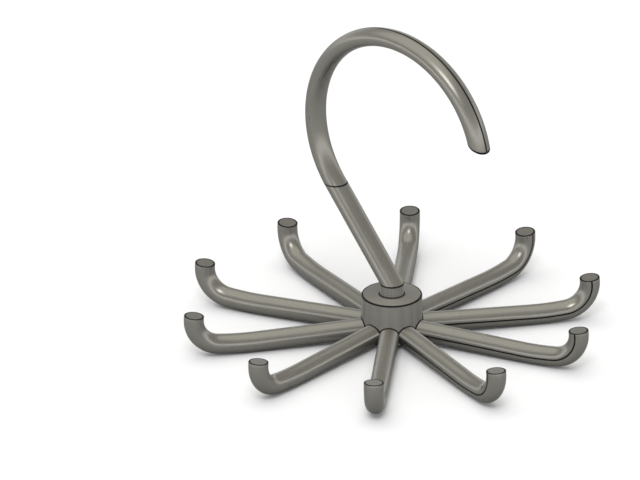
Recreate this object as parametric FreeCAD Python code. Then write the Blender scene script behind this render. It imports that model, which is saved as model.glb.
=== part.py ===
import FreeCAD, Part
import math
import os

from FreeCAD import Vector

# Tie hanger: bent rod arms round a hub, hung from a closet rod by a swivel hook.
# Millimetres and degrees. +Z is up along the hub's axis, the hook lies in the XZ plane with
# its mouth towards +X, and z = 0 is the surface that the undersides of the arms stand on.

# Hub, turned from round bar
hub_diameter = 18.0
hub_height = 13.3
hub_edge_break = 0.25

# Arms, bent from drawn round rod: a drooping run, a gentle sweep, the bend and a short tip
arm_count = 10
arm_diameter = 6.0
arm_droop = 1.64
arm_low_radius = 43.9
arm_sweep_radius = 85.8
arm_sweep_rise = 5.86
arm_bend_radius = 8.3
arm_tip_lean = 4.8
arm_tip_run = 0.9
arm_edge_break = 0.25

# Turned end of each arm, brazed into the hub's side
spigot_diameter = 3.0
spigot_length = 2.8

# Hook: the neck, the leaning shank and the bow share one level round section
hook_diameter = 7.2
neck_height = 3.4
bow_radius = 32.5
bow_offset = 2.65
bow_rise = 50.75
bow_end_angle = 14.2
hook_edge_break = 0.15

# Tenons that centre the shank on the neck and the bow on the shank
neck_tenon_diameter = 2.4
neck_tenon_length = 1.6
bow_tenon_diameter = 3.0
bow_tenon_length = 6.0

# Swivel: the pin's journal runs in a bush and is held by a washer and a spring ring
journal_diameter = 5.0
journal_end_break = 0.4
journal_end_inset = 0.5
bush_wall = 1.0
recess_diameter = 10.0
recess_depth = 3.0
washer_diameter = 9.0
washer_thickness = 0.8

# Spring ring, thicker at its back, with an eye for pliers at each end
ring_thickness = 0.7
ring_width = 1.0
ring_back_width = 1.4
ring_gap = 1.6
ring_eye_diameter = 1.9
ring_eye_hole = 0.9
groove_depth = 0.4

# Fits
running_clearance = 0.03
end_play = 0.15
fixed_clearance = 0.02
cut_overrun = 1.0

# Round sizes as radii
hub_radius = hub_diameter / 2
arm_radius = arm_diameter / 2
spigot_radius = spigot_diameter / 2
hook_radius = hook_diameter / 2
journal_radius = journal_diameter / 2
groove_radius = journal_radius - groove_depth
bush_radius = journal_radius + running_clearance + bush_wall

# Directions used throughout
up = Vector(0, 0, 1)
hub_axis = Vector(0, 0, 0)
bow_axis = Vector(0, 1, 0)
full_turn = 360.0
quarter_turn = 90.0
arm_pitch = full_turn / arm_count


def polar(radius, angle):
    """Point in the XZ plane at an angle above +X."""
    turned = math.radians(angle)
    return Vector(radius * math.cos(turned), 0, radius * math.sin(turned))


# Centre line of an arm, in the XZ plane, lowest where its sweep is level
sweep_centre = Vector(arm_low_radius, 0, arm_radius + arm_sweep_radius)
sweep_start = sweep_centre + polar(arm_sweep_radius, -quarter_turn - arm_droop)
sweep_middle = sweep_centre + polar(arm_sweep_radius, -quarter_turn + (arm_sweep_rise - arm_droop) / 2)
sweep_end = sweep_centre + polar(arm_sweep_radius, -quarter_turn + arm_sweep_rise)
bend_centre = sweep_end + polar(arm_bend_radius, quarter_turn + arm_sweep_rise)
bend_middle = bend_centre + polar(arm_bend_radius, (arm_sweep_rise + arm_tip_lean - quarter_turn) / 2)
bend_end = bend_centre + polar(arm_bend_radius, arm_tip_lean)
arm_tip = bend_end + polar(arm_tip_run, quarter_turn + arm_tip_lean)
arm_direction = polar(1, -arm_droop)


def on_arm_axis(radius):
    """Point of the arm's straight run at a distance from the hub's axis."""
    return sweep_start - arm_direction * ((sweep_start.x - radius) / arm_direction.x)


# Levels, from the foot of the hub, which is flush with the arms' undersides there
hub_foot = on_arm_axis(hub_radius).z - arm_radius / arm_direction.x
hub_top = hub_foot + hub_height
recess_top = hub_foot + recess_depth
washer_top = recess_top - end_play
ring_top = washer_top - washer_thickness
ring_foot = ring_top - ring_thickness
neck_foot = hub_top + end_play
neck_top = neck_foot + neck_height

# Hook in the XZ plane: the shank leaves the neck's centre and meets the bow tangent to it
neck_centre = Vector(0, 0, neck_top)
bow_centre = Vector(bow_offset, 0, hub_top + bow_rise)
neck_to_bow = bow_centre - neck_centre
tangent_spread = math.degrees(math.asin(bow_radius / neck_to_bow.Length))
shank_angle = math.degrees(math.atan2(neck_to_bow.z, neck_to_bow.x)) + tangent_spread
shank_direction = polar(1, shank_angle)
shank_length = math.sqrt(neck_to_bow.Length ** 2 - bow_radius ** 2)
seam_centre = neck_centre + shank_direction * shank_length
bow_turn = shank_angle + quarter_turn - bow_end_angle


def rod(radius, start, direction, length):
    return Part.makeCylinder(radius, length, start, direction)


def tube(outer_radius, inner_radius, foot, top):
    start = Vector(0, 0, foot)
    return rod(outer_radius, start, up, top - foot).cut(rod(inner_radius, start, up, top - foot))


def level_disc(radius, centre):
    return Part.Face(Part.Wire(Part.makeCircle(radius, centre, up)))


def make_hub():
    foot = Vector(0, 0, hub_foot)
    blank = rod(hub_radius, foot, up, hub_height)
    rims = [edge for edge in blank.Edges if edge.isClosed()]
    body = blank.makeChamfer(hub_edge_break, rims)
    bore_start = foot - up * cut_overrun
    bore = rod(bush_radius + fixed_clearance, bore_start, up, hub_height + 2 * cut_overrun)
    recess = rod(recess_diameter / 2, bore_start, up, recess_depth + cut_overrun)
    hole_radius = spigot_radius + fixed_clearance
    hole_start = on_arm_axis(hub_radius - spigot_length - fixed_clearance)
    hole = rod(hole_radius, hole_start, arm_direction, spigot_length + cut_overrun)
    holes = [hole.rotated(hub_axis, up, angle) for angle in arm_angles()]
    return body.cut([bore, recess] + holes)


def arm_angles():
    """The hook's plane lies half-way between two arms."""
    return [arm_pitch * (index + 1 / 2) for index in range(arm_count)]


def bent_rod():
    start = on_arm_axis(0)
    path = Part.Wire([
        Part.LineSegment(start, sweep_start).toShape(),
        Part.Arc(sweep_start, sweep_middle, sweep_end).toShape(),
        Part.Arc(sweep_end, bend_middle, bend_end).toShape(),
        Part.LineSegment(bend_end, arm_tip).toShape(),
    ])
    section = Part.Wire(Part.makeCircle(arm_radius, start, arm_direction))
    bent = path.makePipeShell([section], True, False)
    tip_rim = max(bent.Edges, key=lambda edge: edge.CenterOfMass.z)
    return bent.makeChamfer(arm_edge_break, [tip_rim])


def arm_sector():
    """The wedge of space between the mitres that an arm shares with its two neighbours."""
    half_pitch = math.radians(arm_pitch / 2)
    nose = fixed_clearance / math.sin(half_pitch)
    reach = arm_tip.x + arm_diameter + cut_overrun
    flank = (reach - nose) * math.tan(half_pitch)
    low = -cut_overrun
    corners = [Vector(nose, 0, low), Vector(reach, -flank, low), Vector(reach, flank, low)]
    outline = Part.makePolygon(corners + corners[:1])
    return Part.Face(outline).extrude(up * (hub_top + 2 * cut_overrun))


def make_arm():
    """One arm along +X: coped to the hub, mitred against its neighbours, with its spigot."""
    cope_start = Vector(0, 0, -cut_overrun)
    cope = rod(hub_radius + fixed_clearance, cope_start, up, hub_top + 2 * cut_overrun)
    coped = bent_rod().cut(cope).common(arm_sector())
    spigot_start = on_arm_axis(hub_radius - spigot_length)
    spigot = rod(spigot_radius, spigot_start, arm_direction, spigot_length + arm_radius)
    return coped.fuse(spigot).removeSplitter()


def make_bush():
    return tube(bush_radius, journal_radius + running_clearance, recess_top, hub_top)


def make_pin():
    """Turned profile, from the foot of the journal up to the tenon on the neck."""
    foot = hub_foot + journal_end_inset
    groove_foot = ring_foot - fixed_clearance
    groove_top = ring_top + fixed_clearance
    tenon_radius = neck_tenon_diameter / 2
    tenon_top = neck_top + neck_tenon_length
    steps = [
        (0, foot),
        (journal_radius - journal_end_break, foot),
        (journal_radius, foot + journal_end_break),
        (journal_radius, groove_foot),
        (groove_radius, groove_foot),
        (groove_radius, groove_top),
        (journal_radius, groove_top),
        (journal_radius, neck_foot),
        (hook_radius, neck_foot),
        (hook_radius, neck_top - hook_edge_break),
        (hook_radius - hook_edge_break, neck_top),
        (tenon_radius, neck_top),
        (tenon_radius, tenon_top),
        (0, tenon_top),
    ]
    corners = [Vector(radius, 0, level) for radius, level in steps]
    profile = Part.Face(Part.makePolygon(corners + corners[:1]))
    return profile.revolve(hub_axis, up, full_turn)


def make_washer():
    return tube(washer_diameter / 2, journal_radius + running_clearance, ring_top, washer_top)


def make_ring():
    """Open ring in the pin's groove, its gap towards +X."""
    inner_radius = groove_radius + fixed_clearance
    outer_radius = inner_radius + (ring_width + ring_back_width) / 2
    back_shift = (ring_back_width - ring_width) / 2
    eye_radius = ring_eye_diameter / 2
    eye_side = ring_gap / 2 + eye_radius
    eye_reach = math.sqrt((inner_radius + eye_radius) ** 2 - eye_side ** 2)
    plate = rod(outer_radius, Vector(-back_shift, 0, ring_foot), up, ring_thickness)
    eyes = [Vector(eye_reach, side * eye_side, ring_foot) for side in (-1, 1)]
    plate = plate.fuse([rod(eye_radius, eye, up, ring_thickness) for eye in eyes])
    seat = rod(inner_radius, Vector(0, 0, ring_foot), up, ring_thickness)
    gap_corner = Vector(0, -ring_gap / 2, ring_foot)
    gap = Part.makeBox(eye_reach + ring_eye_diameter, ring_gap, ring_thickness, gap_corner)
    holes = [rod(ring_eye_hole / 2, eye, up, ring_thickness) for eye in eyes]
    return plate.cut([seat, gap] + holes).removeSplitter()


def make_shank():
    """Level disc carried up the leaning line, with a socket for a tenon in each end."""
    bar = level_disc(hook_radius, neck_centre).extrude(seam_centre - neck_centre)
    rims = [edge for edge in bar.Edges if edge.isClosed()]
    body = bar.makeChamfer(hook_edge_break, rims)
    neck_socket_start = neck_centre - up * cut_overrun
    neck_socket_depth = neck_tenon_length + fixed_clearance + cut_overrun
    neck_socket_radius = neck_tenon_diameter / 2 + fixed_clearance
    neck_socket = rod(neck_socket_radius, neck_socket_start, up, neck_socket_depth)
    bow_socket_start = seam_centre + shank_direction * hook_diameter
    bow_socket_depth = hook_diameter + bow_tenon_length + fixed_clearance
    bow_socket_radius = bow_tenon_diameter / 2 + fixed_clearance
    bow_socket = rod(bow_socket_radius, bow_socket_start, -shank_direction, bow_socket_depth)
    return body.cut([neck_socket, bow_socket])


def make_bow():
    """The shank's level top disc, turned about the bow's axis over the closet rod."""
    bent = level_disc(hook_radius, seam_centre).revolve(bow_centre, bow_axis, bow_turn)
    rims = [edge for edge in bent.Edges if edge.isClosed() and edge.Length < bow_radius * math.pi]
    body = bent.makeChamfer(hook_edge_break, rims)
    tenon_start = seam_centre + shank_direction * hook_radius
    tenon_length = hook_radius + bow_tenon_length
    tenon = rod(bow_tenon_diameter / 2, tenon_start, -shank_direction, tenon_length)
    return body.fuse(tenon).removeSplitter()


pieces = {
    "hub": make_hub(),
    "swivel_bush": make_bush(),
    "swivel_pin": make_pin(),
    "thrust_washer": make_washer(),
    "retaining_ring": make_ring(),
    "hook_shank": make_shank(),
    "hook_bow": make_bow(),
}
arm = make_arm()
for number, angle in enumerate(arm_angles(), start=1):
    pieces[f"arm_{number:02d}"] = arm.rotated(hub_axis, up, angle)

os.makedirs("parts", exist_ok=True)
for name, piece in pieces.items():
    piece.exportStep(f"parts/{name}.step")
    print(f"{name}: {piece.Volume:.1f} mm3, valid {piece.isValid()}, solids {len(piece.Solids)}")
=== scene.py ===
"""Looks of a tie hanger: ten bent rod arms round a turned hub, hung by a swivel hook."""

import math

import bmesh
import bpy
from mathutils import Matrix, Vector


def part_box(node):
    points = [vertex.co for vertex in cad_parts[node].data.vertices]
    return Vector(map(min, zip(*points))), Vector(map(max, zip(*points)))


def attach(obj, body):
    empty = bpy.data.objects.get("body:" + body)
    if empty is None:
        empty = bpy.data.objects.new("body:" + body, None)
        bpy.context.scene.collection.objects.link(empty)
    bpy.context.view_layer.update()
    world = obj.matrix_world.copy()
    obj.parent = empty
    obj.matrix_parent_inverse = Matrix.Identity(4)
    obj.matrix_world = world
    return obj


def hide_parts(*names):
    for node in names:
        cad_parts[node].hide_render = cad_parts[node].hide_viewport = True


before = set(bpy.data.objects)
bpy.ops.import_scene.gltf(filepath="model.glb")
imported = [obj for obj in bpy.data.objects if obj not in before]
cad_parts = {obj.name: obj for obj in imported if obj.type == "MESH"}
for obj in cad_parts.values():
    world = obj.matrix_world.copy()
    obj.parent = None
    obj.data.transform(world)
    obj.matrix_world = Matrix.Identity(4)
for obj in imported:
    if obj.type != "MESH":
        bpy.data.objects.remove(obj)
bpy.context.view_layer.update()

# HUB
# A short boss turned from round steel bar, its rims broken by a small chamfer. It is bored
# for the swivel's bush and recessed underneath, and the ten arms are brazed round its side.

hub_radius = 0.009
hub_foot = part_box("hub")[0].z
hub_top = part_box("hub")[1].z
hub_bore_radius = 0.00355
recess_radius = 0.005
recess_depth = 0.003
recess_top = hub_foot + recess_depth
hub_rim_break = 0.00025
hub_line_width = 0.0004
hub_ring_width = 0.0005
neck_ring_radius = 0.004
hub_steps = 180
weld_distance = 1e-7
rim_tolerance = 1e-6
sharp_corner = math.radians(28.0)
hub_rings_per_metre = 9000.0
hub_roughness = 0.34
grain_depth = 0.00002
steel_low = (0.140, 0.136, 0.120, 1.0)
steel_high = (0.177, 0.172, 0.154, 1.0)
steel_metallic = 0.6
steel_edge_tint = (0.5, 0.5, 0.5, 1.0)
oxide_low = (0.003, 0.003, 0.003, 1.0)
oxide_high = (0.012, 0.011, 0.010, 1.0)
oxide_index = 1


class Shade:
    """A socket in a finish's node tree. Sums and products of it add their Math nodes."""

    def __init__(self, tree, socket=None):
        self.tree = tree
        self.socket = socket

    def node(self, kind, settings, sockets, output=0):
        """A new node: its settings first, then the values or links of its sockets."""
        made = self.tree.nodes.new(kind)
        for name, value in settings.items():
            setattr(made, name, value)
        for name, value in sockets.items():
            if isinstance(value, Shade):
                self.tree.links.new(value.socket, made.inputs[name])
            else:
                made.inputs[name].default_value = value
        return Shade(self.tree, made.outputs[output] if made.outputs else None)

    def math(self, operation, first, second=0.0):
        return self.node("ShaderNodeMath", {"operation": operation}, {0: first, 1: second})

    def __add__(self, other):
        return self.math("ADD", self, other)

    def __sub__(self, other):
        return self.math("SUBTRACT", self, other)

    def __rsub__(self, other):
        return self.math("SUBTRACT", other, self)

    def __mul__(self, other):
        return self.math("MULTIPLY", self, other)

    def __truediv__(self, other):
        return self.math("DIVIDE", self, other)

    def __rtruediv__(self, other):
        return self.math("DIVIDE", other, self)

    __radd__ = __add__
    __rmul__ = __mul__


def fade(value, start, end):
    """0 before start and 1 after end, with a soft step between; end may be the lower one."""
    sockets = {"Value": value, "From Min": start, "From Max": end}
    return value.node("ShaderNodeMapRange", {"interpolation_type": "SMOOTHSTEP"}, sockets)


def speckle(vector, cells, detail, roughness=0.5):
    """Cloudy noise with a number of cells to the metre along each axis of the vector."""
    scaled = vector.node("ShaderNodeVectorMath", {"operation": "MULTIPLY"}, {0: vector, 1: cells})
    sockets = {"Vector": scaled, "Scale": 1.0, "Detail": detail, "Roughness": roughness}
    return vector.node("ShaderNodeTexNoise", {}, sockets)


def blend(factor, first, second):
    """From the first colour to the second as the factor goes from 0 to 1."""
    return factor.node("ShaderNodeMix", {"data_type": "RGBA"}, {0: factor, 6: first, 7: second}, 2)


def relief(height, depth, strength):
    return height.node("ShaderNodeBump", {}, {"Height": height, "Distance": depth, "Strength": strength})


def split(vector):
    return [vector.node("ShaderNodeSeparateXYZ", {}, {0: vector}, axis) for axis in range(3)]


def from_axis(x, y):
    """Distance from the hub's axis."""
    return x.math("SQRT", x * x + y * y)


def new_finish(name):
    finish = bpy.data.materials.new(name)
    finish.use_nodes = True
    finish.node_tree.nodes.clear()
    return finish, Shade(finish.node_tree)


def surface(start, sockets):
    shader = start.node("ShaderNodeBsdfPrincipled", {}, sockets)
    start.node("ShaderNodeOutputMaterial", {}, {"Surface": shader})


def turned_steel(name, rings_per_metre, roughness):
    """Lathe-turned steel: rings too fine to see, which draw its shine out across them, and smudges."""
    ring_cells = (rings_per_metre, rings_per_metre, 1.2)
    band_cells = (1500.0, 1500.0, 0.6)
    smudge_cells = (180.0, 180.0, 180.0)
    off_axis = 0.0001
    finish, start = new_finish(name)
    place = start.node("ShaderNodeTexCoord", {}, {}, "Object")
    x, y, z = split(place)
    radius = from_axis(x, y)
    swept = place.node("ShaderNodeCombineXYZ", {}, {0: radius, 1: z, 2: x / (radius + off_axis)})
    rings = speckle(swept, ring_cells, detail=2.0)
    bands = speckle(swept, band_cells, detail=2.0)
    smudge = speckle(place, smudge_cells, detail=3.0)
    surface(start, {
        "Base Color": blend(bands * 0.7 + rings * 0.3, steel_low, steel_high),
        "Metallic": steel_metallic,
        "Specular Tint": steel_edge_tint,
        "Roughness": roughness + rings * 0.08 + smudge * 0.08,
        "Normal": relief(rings + bands * 0.5, grain_depth, strength=0.12),
        "Anisotropic": 0.7,
        "Anisotropic Rotation": 0.25,
    })
    return finish


def black_line():
    """Dark oxide in the cut rims, the joints and the seam of the drawn rod."""
    oxide_cells = (4000.0, 4000.0, 4000.0)
    finish, start = new_finish("joint_oxide")
    place = start.node("ShaderNodeTexCoord", {}, {}, "Object")
    grain = speckle(place, oxide_cells, detail=2.0)
    surface(start, {
        "Base Color": blend(grain, oxide_low, oxide_high),
        "Roughness": 0.5 + grain * 0.2,
        "Specular IOR Level": 0.06,
    })
    return finish


def turned(profile, steps):
    """A closed profile of radius and height corners, spun round the hub's axis."""
    bm = bmesh.new()
    corners = [bm.verts.new((radius, 0.0, level)) for radius, level in profile]
    sides = [bm.edges.new(pair) for pair in zip(corners, corners[1:] + corners[:1])]
    bmesh.ops.spin(bm, geom=corners + sides, cent=(0.0, 0.0, 0.0), axis=(0.0, 0.0, 1.0),
                   angle=math.tau, steps=steps, use_merge=True)
    bmesh.ops.remove_doubles(bm, verts=bm.verts, dist=weld_distance)
    return bm


def break_rims(bm, edges, offset):
    """Bevels the edges, and gives the new faces."""
    return bmesh.ops.bevel(bm, geom=edges, offset=offset, offset_type="OFFSET", affect="EDGES",
                           segments=2, profile=0.5, material=-1)["faces"]


def rim_edges(bm, radius, level):
    """The edges of the circle of that radius at that height."""
    def on_rim(vert):
        across = abs(vert.co.xy.length - radius)
        return across < rim_tolerance and abs(vert.co.z - level) < rim_tolerance
    return [edge for edge in bm.edges if all(on_rim(vert) for vert in edge.verts)]


def darken(bm, in_line):
    """Gives the dark oxide to the faces that lie in a line."""
    for face in bm.faces:
        middle = face.calc_center_median()
        if in_line(middle.xy.length, middle.z):
            face.material_index = oxide_index


def piece_from(name, bm, finishes, mirrored=False):
    """The mesh as an object: round faces smooth, corners sharp. In the photograph no piece of
    the hanger mirrors another, so a piece that isn't mirrored is left out of all reflections."""
    bmesh.ops.recalc_face_normals(bm, faces=bm.faces)
    for face in bm.faces:
        face.smooth = True
    for edge in bm.edges:
        edge.smooth = edge.calc_face_angle(0.0) < sharp_corner
    mesh = bpy.data.meshes.new(name)
    bm.to_mesh(mesh)
    bm.free()
    for finish in finishes:
        mesh.materials.append(finish)
    piece = bpy.data.objects.new(name, mesh)
    piece.visible_glossy = mirrored
    bpy.context.scene.collection.objects.link(piece)
    return piece


def in_hub_line(radius, level):
    """The hub's two rims, and a ring on its top round the swivel's neck."""
    at_top = level > hub_top - hub_line_width
    at_foot = level < hub_foot + hub_line_width
    at_rim = radius > hub_radius - hub_ring_width
    at_neck = radius < neck_ring_radius
    return (at_rim and (at_top or at_foot)) or (at_neck and at_top)


bm = turned([
    (hub_bore_radius, hub_top),
    (neck_ring_radius, hub_top),
    (hub_radius - hub_ring_width, hub_top),
    (hub_radius, hub_top),
    (hub_radius, hub_top - hub_line_width),
    (hub_radius, hub_foot + hub_line_width),
    (hub_radius, hub_foot),
    (recess_radius, hub_foot),
    (recess_radius, recess_top),
    (hub_bore_radius, recess_top),
], hub_steps)
break_rims(bm, rim_edges(bm, hub_radius, hub_top) + rim_edges(bm, hub_radius, hub_foot), hub_rim_break)
darken(bm, in_hub_line)
joint_oxide = black_line()
hub_steel = turned_steel("turned_steel_hub", hub_rings_per_metre, hub_roughness)
hub = piece_from("hub_turned", bm, [hub_steel, joint_oxide])
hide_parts("hub")
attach(hub, "carousel")

# ARMS
# Ten lengths of drawn round steel rod, each with a long drooping run, a gentle sweep, a tight
# upward bend and a square-cut tip. Their roots are coped, mitred to each other and brazed on.

arm_rod_radius = 0.003
polish_depth = 0.00001
arm_radius = arm_rod_radius - polish_depth
arm_columns = 72
arm_count = 10
half_pitch = math.pi / arm_count
arm_droop = math.radians(1.64)
arm_low_radius = 0.0439
arm_sweep_radius = 0.0858
arm_sweep_rise = math.radians(5.86)
arm_sweep_steps = 8
arm_bend_radius = 0.0083
arm_bend_steps = 36
arm_tip_lean = math.radians(4.8)
arm_tip_run = 0.0009
arm_tip_break = 0.00012
tip_line_width = 0.00042
seam_half_turn = math.radians(5.0)
braze_width = 0.0003
cope_gap = 0.00002
cope_radius = hub_radius + cope_gap
mitre_gap = 0.00001
mitre_tolerance = 1e-8
arm_worn_from = 0.024
arm_worn_to = 0.046
upper_side = (0.0, 1.0)
wear_fade = 0.006
wear_edge = 0.0008
wear_middle = 0.0028
rod_film_gloss = 0.1
saw_mark_depth = 0.00003
sawn_low = (0.105, 0.102, 0.089, 1.0)
sawn_high = (0.143, 0.139, 0.123, 1.0)
sawn_index = 2


def drawn_steel(name, worn_from, worn_to, worn_side):
    """Satin drawn rod: grain along the rod, smudges, and a patch on one side that use has rubbed."""
    fine_cells = (9000.0, 9000.0, 260.0)
    coarse_cells = (2200.0, 2200.0, 60.0)
    smudge_cells = (260.0, 260.0, 110.0)
    hair_cells = (15000.0, 15000.0, 90.0)
    finish, start = new_finish(name)
    along_rod = start.node("ShaderNodeAttribute", {"attribute_name": "rod"}, {}, "Vector")
    side, height, along = split(along_rod)
    fine = speckle(along_rod, fine_cells, detail=2.0)
    coarse = speckle(along_rod, coarse_cells, detail=2.0)
    smudge = speckle(along_rod, smudge_cells, detail=3.0)
    hairs = fade(speckle(along_rod, hair_cells, detail=1.0), start=0.66, end=0.74)
    stretch = fade(along, worn_from - wear_fade, worn_from) * fade(along, worn_to + wear_fade, worn_to)
    facing = side * worn_side[0] + height * worn_side[1]
    worn = stretch * fade(facing, wear_edge, wear_middle) * fade(smudge, start=0.3, end=0.6)
    surface(start, {
        "Base Color": blend(coarse * 0.7 + fine * 0.3, steel_low, steel_high),
        "Metallic": steel_metallic,
        "Specular IOR Level": rod_film_gloss,
        "Specular Tint": steel_edge_tint,
        "Roughness": 0.21 + coarse * 0.08 + smudge * 0.08 + hairs * 0.05 - worn * 0.05,
        "Normal": relief(fine + coarse * 0.6 - hairs * 0.2, grain_depth, strength=0.08),
    })
    return finish


def sawn_steel():
    """The flat-cut ends of the rod: fine saw marks across the face."""
    mark_cells = (700.0, 7000.0, 0.0)
    cloud_cells = (500.0, 500.0, 0.0)
    finish, start = new_finish("sawn_steel")
    across = start.node("ShaderNodeAttribute", {"attribute_name": "rod"}, {}, "Vector")
    marks = speckle(across, mark_cells, detail=2.0)
    cloud = speckle(across, cloud_cells, detail=2.0)
    surface(start, {
        "Base Color": blend(marks * 0.5 + cloud * 0.5, sawn_low, sawn_high),
        "Metallic": steel_metallic,
        "Specular Tint": steel_edge_tint,
        "Roughness": 0.26 + marks * 0.1 + cloud * 0.06,
        "Normal": relief(marks, saw_mark_depth, strength=0.2),
    })
    return finish


def first_ring(bm, radius, columns, place):
    """A round section whose vertices keep where they are on the straightened rod."""
    rod = bm.verts.layers.float_vector.new("rod")
    ring = bmesh.ops.create_circle(bm, segments=columns, radius=radius)["verts"]
    for vert in ring:
        vert[rod] = vert.co
    bmesh.ops.transform(bm, matrix=place, verts=ring)
    return list(dict.fromkeys(edge for vert in ring for edge in vert.link_edges))


def ring_verts(edges):
    """The ring's vertices, each once, in the order of its edges."""
    return list(dict.fromkeys(vert for edge in edges for vert in edge.verts))


def draw_on(bm, edges, length):
    """Adds the length to the ring's place along the straightened rod."""
    rod = bm.verts.layers.float_vector["rod"]
    for vert in ring_verts(edges):
        vert[rod] = vert[rod] + Vector((0.0, 0.0, length))
    return edges


def run(bm, edges, step):
    """A straight length of rod from the ring."""
    grown = bmesh.ops.extrude_edge_only(bm, edges=edges)["geom"]
    verts = [item for item in grown if isinstance(item, bmesh.types.BMVert)]
    bmesh.ops.translate(bm, vec=step, verts=verts)
    ends = set(verts)
    ring = [item for item in grown if isinstance(item, bmesh.types.BMEdge) and ends.issuperset(item.verts)]
    return draw_on(bm, ring, step.length)


def bend(bm, edges, centre, axis, angle, steps, length):
    """A bent length of rod from the ring, turned about a centre."""
    for step in range(steps):
        grown = bmesh.ops.spin(bm, geom=ring_verts(edges) + edges, cent=centre, axis=axis,
                               angle=angle / steps, steps=1)
        edges = [item for item in grown["geom_last"] if isinstance(item, bmesh.types.BMEdge)]
        draw_on(bm, edges, length / steps)
    return edges


def cut_end(bm, edges, line_width, rim_break):
    """Closes the rod with a sawn face whose broken rim is a dark line."""
    cap = bmesh.ops.contextual_create(bm, geom=edges)["faces"]
    cap[0].material_index = sawn_index
    if line_width:
        inset = bmesh.ops.inset_region(bm, faces=cap, thickness=rim_break + line_width)
        for face in inset["faces"]:
            face.material_index = oxide_index
    for face in break_rims(bm, edges, rim_break):
        face.material_index = oxide_index


def draw_lines(bm, radius, first, last):
    """Darkens the rod's seam along one side, and its ends outside the first and last lengths."""
    rod = bm.verts.layers.float_vector["rod"]
    for face in bm.faces:
        middle = sum((vert[rod] for vert in face.verts), Vector()) / len(face.verts)
        seam = middle.x < 0.0 and abs(middle.y) < radius * seam_half_turn
        if seam or middle.z < first or middle.z > last:
            face.material_index = oxide_index


def polar(centre, radius, angle):
    """Point of the XZ plane at an angle above +X from a centre there."""
    return centre + Vector((math.cos(angle), 0.0, math.sin(angle))) * radius


right_angle = math.pi / 2
arm_direction = polar(Vector(), 1.0, -arm_droop)
sweep_centre = Vector((arm_low_radius, 0.0, arm_rod_radius + arm_sweep_radius))
sweep_start = polar(sweep_centre, arm_sweep_radius, -right_angle - arm_droop)
sweep_end = polar(sweep_centre, arm_sweep_radius, -right_angle + arm_sweep_rise)
bend_centre = polar(sweep_end, arm_bend_radius, right_angle + arm_sweep_rise)
arm_root = sweep_start - arm_direction * ((sweep_start.x - cope_radius) / arm_direction.x)
sweep_turn = arm_droop + arm_sweep_rise
bend_turn = right_angle + arm_tip_lean - arm_sweep_rise
bend_axis = (0.0, -1.0, 0.0)
facing_out = Matrix(((0, 0, 1, 0), (1, 0, 0, 0), (0, 1, 0, 0), (0, 0, 0, 1)))
rod_steel = drawn_steel("drawn_steel_arm", arm_worn_from, arm_worn_to, upper_side)
cut_steel = sawn_steel()


def arm_mesh(turn):
    """One arm, made along +X and then turned to its place round the hub."""
    bm = bmesh.new()
    section = Matrix.Translation(arm_root) @ Matrix.Rotation(arm_droop, 4, "Y") @ facing_out
    root = first_ring(bm, arm_radius, arm_columns, section)
    collar = run(bm, root, arm_direction * braze_width)
    long_end = run(bm, collar, sweep_start - arm_root - arm_direction * braze_width)
    flare = (arm_radius + braze_width) / arm_radius
    bmesh.ops.scale(bm, vec=(1.0, flare, flare), space=Matrix.Translation(-arm_root),
                    verts=ring_verts(root))
    for ring, ahead in ((root, 0.0), (collar, braze_width)):
        for vert in ring_verts(ring):
            seat = math.sqrt(cope_radius ** 2 - vert.co.y ** 2) + ahead
            vert.co += arm_direction * ((seat - vert.co.x) / arm_direction.x)
    swept = bend(bm, long_end, sweep_centre, bend_axis, sweep_turn, arm_sweep_steps,
                 sweep_turn * arm_sweep_radius)
    bent = bend(bm, swept, bend_centre, bend_axis, bend_turn, arm_bend_steps,
                bend_turn * arm_bend_radius)
    tip = run(bm, bent, polar(Vector(), arm_tip_run, right_angle + arm_tip_lean))
    draw_lines(bm, arm_radius, braze_width, math.inf)
    cut_end(bm, tip, tip_line_width, arm_tip_break)
    bmesh.ops.contextual_create(bm, geom=root)
    for hand in (-1, 1):
        normal = Vector((-math.sin(half_pitch), hand * math.cos(half_pitch), 0.0))
        mitred = bmesh.ops.bisect_plane(bm, geom=bm.verts[:] + bm.edges[:] + bm.faces[:],
                                        dist=mitre_tolerance, plane_co=-normal * mitre_gap,
                                        plane_no=normal, clear_outer=True)
        cut = [item for item in mitred["geom_cut"] if isinstance(item, bmesh.types.BMEdge)]
        bmesh.ops.holes_fill(bm, edges=cut, sides=0)
    bmesh.ops.rotate(bm, verts=bm.verts, matrix=Matrix.Rotation(turn, 3, "Z"))
    return bm


for number in range(1, arm_count + 1):
    turn = math.tau / arm_count * (number - 0.5)
    arm = piece_from(f"arm_{number:02d}_drawn", arm_mesh(turn), [rod_steel, joint_oxide, cut_steel])
    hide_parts(f"arm_{number:02d}")
    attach(arm, "carousel")

# SWIVEL BUSH
# A plain sleeve of sintered bronze, pressed into the hub's bore. The pin's journal turns in it;
# its pores hold oil, so it is mottled, and black with oil and dust at its two ends.

bush_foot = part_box("swivel_bush")[0].z
bush_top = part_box("swivel_bush")[1].z
top_grime_reach = 0.0004
foot_grime_reach = 0.0003
full_grime_reach = 0.0001
pore_depth = 0.00003
bronze_low = (0.36, 0.22, 0.10, 1.0)
bronze_high = (0.48, 0.31, 0.15, 1.0)
pit_brown = (0.09, 0.055, 0.03, 1.0)
oil_black = (0.006, 0.005, 0.004, 1.0)


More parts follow.
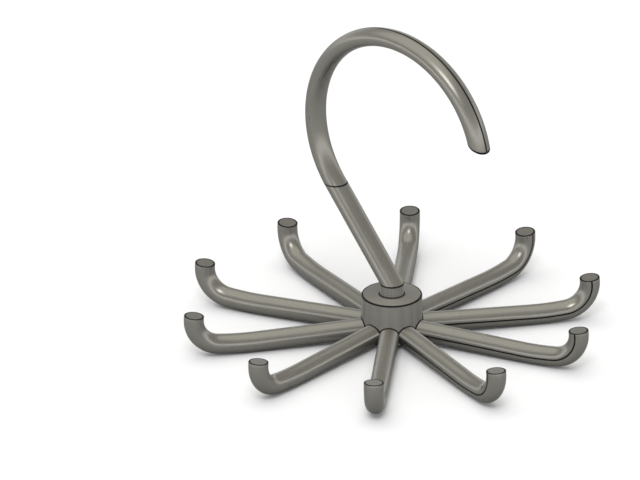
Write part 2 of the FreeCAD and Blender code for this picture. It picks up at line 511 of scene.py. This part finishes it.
def sintered_bronze():
    pores_per_metre = 5200.0
    oil_cells = (420.0, 420.0, 420.0)
    finish, start = new_finish("sintered_bronze")
    place = start.node("ShaderNodeTexCoord", {}, {}, "Object")
    pores = place.node("ShaderNodeTexVoronoi", {}, {"Vector": place, "Scale": pores_per_metre})
    pits = fade(pores, start=0.32, end=0.12)
    oil = speckle(place, oil_cells, detail=3.0)
    level = split(place)[2]
    top_grime = fade(level, bush_top - top_grime_reach, bush_top - full_grime_reach)
    foot_grime = fade(level, bush_foot + foot_grime_reach, bush_foot + full_grime_reach)
    grime = place.math("MAXIMUM", top_grime, foot_grime * oil)
    bronze = blend(pits, blend(oil, bronze_low, bronze_high), pit_brown)
    surface(start, {
        "Base Color": blend(grime, bronze, oil_black),
        "Metallic": (1.0 - pits * 0.6) * (1.0 - grime),
        "Roughness": 0.34 + oil * 0.16 + pits * 0.2,
        "Normal": relief(1.0 - pits, pore_depth, strength=0.3),
    })
    return finish


def coat(node, finish):
    """Puts the finish on a CAD node that is shown as it is."""
    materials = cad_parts[node].data.materials
    materials.clear()
    materials.append(finish)


coat("swivel_bush", sintered_bronze())

# SWIVEL PIN
# The hook's turned steel foot: a round neck that shows above the hub, and a ground journal that
# goes down through the bush, with a groove near its end for the spring ring.

neck_radius = 0.0036
end_play = 0.00015
neck_height = 0.0034
neck_foot = hub_top + end_play
neck_top = neck_foot + neck_height
neck_rim_break = 0.00015
journal_radius = 0.0025
journal_recess = 0.0005
journal_foot = hub_foot + journal_recess
journal_end_break = 0.0004
groove_radius = 0.0021
groove_gap = 0.00002
groove_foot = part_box("retaining_ring")[0].z - groove_gap
groove_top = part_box("retaining_ring")[1].z + groove_gap
neck_line_width = 0.00028
pin_steps = 72
pin_rings_per_metre = 12000.0
pin_roughness = 0.24


def in_neck_line(radius, level):
    """The foot and the top of the neck."""
    return level > neck_top - neck_line_width or 0.0 < level - neck_foot < neck_line_width


bm = turned([
    (0.0, journal_foot),
    (journal_radius - journal_end_break, journal_foot),
    (journal_radius, journal_foot + journal_end_break),
    (journal_radius, groove_foot),
    (groove_radius, groove_foot),
    (groove_radius, groove_top),
    (journal_radius, groove_top),
    (journal_radius, neck_foot),
    (neck_radius, neck_foot),
    (neck_radius, neck_foot + neck_line_width),
    (neck_radius, neck_top - neck_line_width),
    (neck_radius, neck_top),
    (0.0, neck_top),
], pin_steps)
break_rims(bm, rim_edges(bm, neck_radius, neck_top), neck_rim_break)
darken(bm, in_neck_line)
pin_steel = turned_steel("ground_steel_pin", pin_rings_per_metre, pin_roughness)
pin = piece_from("swivel_pin_turned", bm, [pin_steel, joint_oxide])
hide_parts("swivel_pin")
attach(pin, "hook")

# THRUST WASHER
# A flat ring of natural acetal under the hub's inner shoulder. The weight of the arms and the
# ties turns on it, so its rubbing face is polished in rings.

track_depth = 0.00003
acetal_low = (0.68, 0.66, 0.60, 1.0)
acetal_high = (0.78, 0.77, 0.72, 1.0)


def natural_acetal():
    track_cells = (5000.0, 5000.0, 0.0)
    cloud_cells = (500.0, 500.0, 500.0)
    finish, start = new_finish("natural_acetal")
    place = start.node("ShaderNodeTexCoord", {}, {}, "Object")
    x, y, z = split(place)
    swept = place.node("ShaderNodeCombineXYZ", {}, {0: from_axis(x, y), 1: z})
    tracks = speckle(swept, track_cells, detail=2.0)
    cloud = speckle(place, cloud_cells, detail=3.0)
    surface(start, {
        "Base Color": blend(cloud, acetal_low, acetal_high),
        "Roughness": 0.34 + tracks * 0.2,
        "Normal": relief(tracks + cloud * 0.4, track_depth, strength=0.15),
    })
    return finish


coat("thrust_washer", natural_acetal())

# RETAINING RING
# A stamped spring-steel ring with an eye at each end for pliers, snapped into the pin's groove.
# It is phosphated nearly black, and a little bright steel shows where it is rubbed.

crystal_depth = 0.00003
phosphate_low = (0.018, 0.018, 0.019, 1.0)
phosphate_high = (0.05, 0.05, 0.052, 1.0)
bare_steel = (0.20, 0.20, 0.20, 1.0)


def phosphated_spring_steel():
    crystal_cells = (7000.0, 7000.0, 7000.0)
    rub_cells = (900.0, 900.0, 900.0)
    finish, start = new_finish("phosphated_spring_steel")
    place = start.node("ShaderNodeTexCoord", {}, {}, "Object")
    crystals = speckle(place, crystal_cells, detail=3.0, roughness=0.6)
    rubbed = fade(speckle(place, rub_cells, detail=2.0), start=0.58, end=0.72)
    black = blend(crystals, phosphate_low, phosphate_high)
    surface(start, {
        "Base Color": blend(rubbed * 0.5, black, bare_steel),
        "Metallic": 0.4 + rubbed * 0.5,
        "Roughness": 0.42 + crystals * 0.2 - rubbed * 0.1,
        "Normal": relief(crystals, crystal_depth, strength=0.25),
    })
    return finish


coat("retaining_ring", phosphated_spring_steel())

# HOOK SHANK
# The straight leaning bar of the hook, of the same drawn steel as the bow. It is set on the
# pin's neck by a tenon, and a fine dark line shows at the joint at each end.

hook_columns = 72
hook_rim_break = 0.00015
hook_line_width = 0.00027
hook_radius = neck_radius - polish_depth
bow_radius = 0.0325
bow_offset = 0.00265
bow_rise = 0.05075
bow_centre = Vector((bow_offset, 0.0, hub_top + bow_rise))
neck_centre = Vector((0.0, 0.0, neck_top))
neck_to_bow = bow_centre - neck_centre
tangent_spread = math.asin(bow_radius / neck_to_bow.length)
shank_angle = math.atan2(neck_to_bow.z, neck_to_bow.x) + tangent_spread
shank_length = math.sqrt(neck_to_bow.length ** 2 - bow_radius ** 2)
shank_direction = polar(Vector(), 1.0, shank_angle)
seam_centre = polar(neck_centre, shank_length, shank_angle)
shank_worn_from = 0.010
shank_worn_to = 0.024
mouth_side = (1.0, 0.0)

bm = bmesh.new()
foot_ring = first_ring(bm, hook_radius, hook_columns, Matrix.Translation(neck_centre))
foot_collar = run(bm, foot_ring, shank_direction * hook_line_width)
top_collar = run(bm, foot_collar, shank_direction * (shank_length - 2 * hook_line_width))
top_ring = run(bm, top_collar, shank_direction * hook_line_width)
draw_lines(bm, hook_radius, hook_line_width, shank_length - hook_line_width)
cut_end(bm, foot_ring, 0.0, hook_rim_break)
cut_end(bm, top_ring, 0.0, hook_rim_break)
shank_steel = drawn_steel("drawn_steel_shank", shank_worn_from, shank_worn_to, mouth_side)
shank = piece_from("hook_shank_drawn", bm, [shank_steel, joint_oxide, cut_steel])
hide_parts("hook_shank")
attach(shank, "hook")

# HOOK BOW
# The open bow that goes over the closet rod, bent from the same steel and joined to the shank
# by a tenon. Its free end is cut flat, and its inside is rubbed by the rod at the crown.

bow_end_angle = math.radians(14.2)
bow_end_line_width = 0.0007
bow_steps = 120
bow_length = (shank_angle + right_angle - bow_end_angle) * bow_radius
bow_axis = (0.0, 1.0, 0.0)
crown_worn_from = 0.045
crown_worn_to = 0.085

bm = bmesh.new()
start_ring = first_ring(bm, hook_radius, hook_columns, Matrix.Translation(seam_centre))
end_ring = start_ring
for length, steps in (
    (hook_line_width, 1),
    (bow_length - hook_line_width - bow_end_line_width, bow_steps),
    (bow_end_line_width, 1),
):
    end_ring = bend(bm, end_ring, bow_centre, bow_axis, length / bow_radius, steps, length)
draw_lines(bm, hook_radius, hook_line_width, bow_length - bow_end_line_width)
cut_end(bm, start_ring, 0.0, hook_rim_break)
cut_end(bm, end_ring, tip_line_width, hook_rim_break)
bow_steel = drawn_steel("drawn_steel_bow", crown_worn_from, crown_worn_to, mouth_side)
bow = piece_from("hook_bow_drawn", bm, [bow_steel, joint_oxide, cut_steel])
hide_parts("hook_bow")
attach(bow, "hook")

# FLOOR
# A plain pale table top that the hanger stands on. It is white to the eye and in reflections,
# and gives back only a little of its light to the dull part of the steel.

floor_reach = 6.0
floor_drop = 0.00002
floor_white = (0.615, 0.62, 0.64, 1.0)
floor_bounce = (0.12, 0.12, 0.12, 1.0)
fibre_cells = (700.0, 700.0, 700.0)

bm = bmesh.new()
bmesh.ops.create_grid(bm, x_segments=2, y_segments=2, size=floor_reach)
bmesh.ops.translate(bm, vec=(0.0, 0.0, -floor_drop), verts=bm.verts)
pale_top, start = new_finish("pale_table_top")
place = start.node("ShaderNodeTexCoord", {}, {}, "Object")
fibre = speckle(place, fibre_cells, detail=3.0)
seen = start.node("ShaderNodeLightPath", {}, {}, "Is Camera Ray")
glossy = start.node("ShaderNodeLightPath", {}, {}, "Is Glossy Ray")
through = start.node("ShaderNodeLightPath", {}, {}, "Is Transmission Ray")
shown = start.math("MAXIMUM", start.math("MAXIMUM", seen, glossy), through)
surface(start, {
    "Base Color": blend(shown, floor_bounce, floor_white),
    "Roughness": 0.85 + fibre * 0.1,
    "Specular IOR Level": 0.0,
})
floor = piece_from("floor", bm, [pale_top], mirrored=True)

# STUDIO LIGHT
# A pale room: a bright ceiling, a darker band of wall below it and a bright foot of wall, with
# one round soft lamp in front, above and a little to the left of the object.

view_azimuth = math.radians(41.08)
view_elevation = math.radians(25.2)
view_right = Vector((math.cos(view_azimuth), math.sin(view_azimuth), 0.0))
view_away = Vector((-math.sin(view_azimuth), math.cos(view_azimuth), 0.0))
room_strength = 2.15
ceiling_light = (1.0, 0.985, 0.935, 1.0)
wall_light = (0.30, 0.295, 0.28, 1.0)
near_foot_light = (1.70, 1.71, 1.73, 1.0)
far_foot_light = (1.10, 1.11, 1.13, 1.0)
ground_light = (0.42, 0.42, 0.42, 1.0)
ceiling_tilt = math.radians(12.0)
ceiling_bearing = math.radians(150.0)
lamp_bearing = math.radians(-97.0)
lamp_height = math.radians(52.0)
lamp_distance = 3.0
lamp_width = 1.2
lamp_power = 40.0


def bearing(angle, height):
    """Direction at an angle from the camera's right, round to the far side, and a height."""
    level = view_right * math.cos(angle) + view_away * math.sin(angle)
    return level * math.cos(height) + Vector((0.0, 0.0, math.sin(height)))


def share_along(direction, axis):
    """How far a direction goes along an axis, from -1 to 1."""
    sockets = {0: direction, 1: axis}
    return direction.node("ShaderNodeVectorMath", {"operation": "DOT_PRODUCT"}, sockets, "Value")


room = bpy.data.worlds.new("pale_room")
room.use_nodes = True
room.node_tree.nodes.clear()
start = Shade(room.node_tree)
direction = start.node("ShaderNodeTexCoord", {}, {}, "Generated")
rise = split(direction)[2]
lean = share_along(direction, bearing(ceiling_bearing, right_angle - ceiling_tilt))
farness = share_along(direction, view_away)
wall_foot = blend(fade(farness, start=-0.4, end=0.6), near_foot_light, far_foot_light)
wall = blend(fade(rise, start=0.35, end=0.17), wall_light, wall_foot)
above_ground = blend(fade(lean, start=0.66, end=0.84), wall, ceiling_light)
room_light = blend(fade(rise, start=0.0, end=-0.02), above_ground, ground_light)
glow = start.node("ShaderNodeBackground", {}, {"Color": room_light, "Strength": room_strength})
start.node("ShaderNodeOutputWorld", {}, {"Surface": glow})
bpy.context.scene.world = room

lamp = bpy.data.lights.new("soft_lamp", "AREA")
lamp.shape = "DISK"
lamp.size = lamp_width
lamp.energy = lamp_power
lamp_direction = bearing(lamp_bearing, lamp_height)
lamp_stand = bpy.data.objects.new("soft_lamp", lamp)
lamp_stand.location = lamp_direction * lamp_distance
lamp_stand.rotation_euler = lamp_direction.to_track_quat("Z", "Y").to_euler()
bpy.context.scene.collection.objects.link(lamp_stand)

# CAMERA
# A parallel view, as the photograph's is, from the front right and a little above. The middle
# of the hub's top is put at its place in the picture.

picture_width = 640
picture_height = 480
pixels_per_metre = 3381.0
hub_top_pixel = (391.82, 293.60)
lens_drop = 0.0112
camera_distance = 1.0

back = bearing(-right_angle, view_elevation)
view_up = back.cross(view_right)
aim = Vector((0.0, 0.0, hub_top))
aim -= view_right * ((hub_top_pixel[0] - picture_width / 2) / pixels_per_metre)
aim += view_up * ((hub_top_pixel[1] - picture_height / 2) / pixels_per_metre)
camera = bpy.data.cameras.new("camera")
camera.type = "ORTHO"
camera.ortho_scale = picture_width / pixels_per_metre
camera.shift_y = -lens_drop / camera.ortho_scale
camera.clip_end = 2 * floor_reach
viewer = bpy.data.objects.new("camera", camera)
viewer.location = aim + view_up * lens_drop + back * camera_distance
viewer.rotation_euler = Matrix((view_right, view_up, back)).transposed().to_euler()
bpy.context.scene.collection.objects.link(viewer)
bpy.context.scene.camera = viewer
bpy.context.scene.view_settings.view_transform = "Standard"
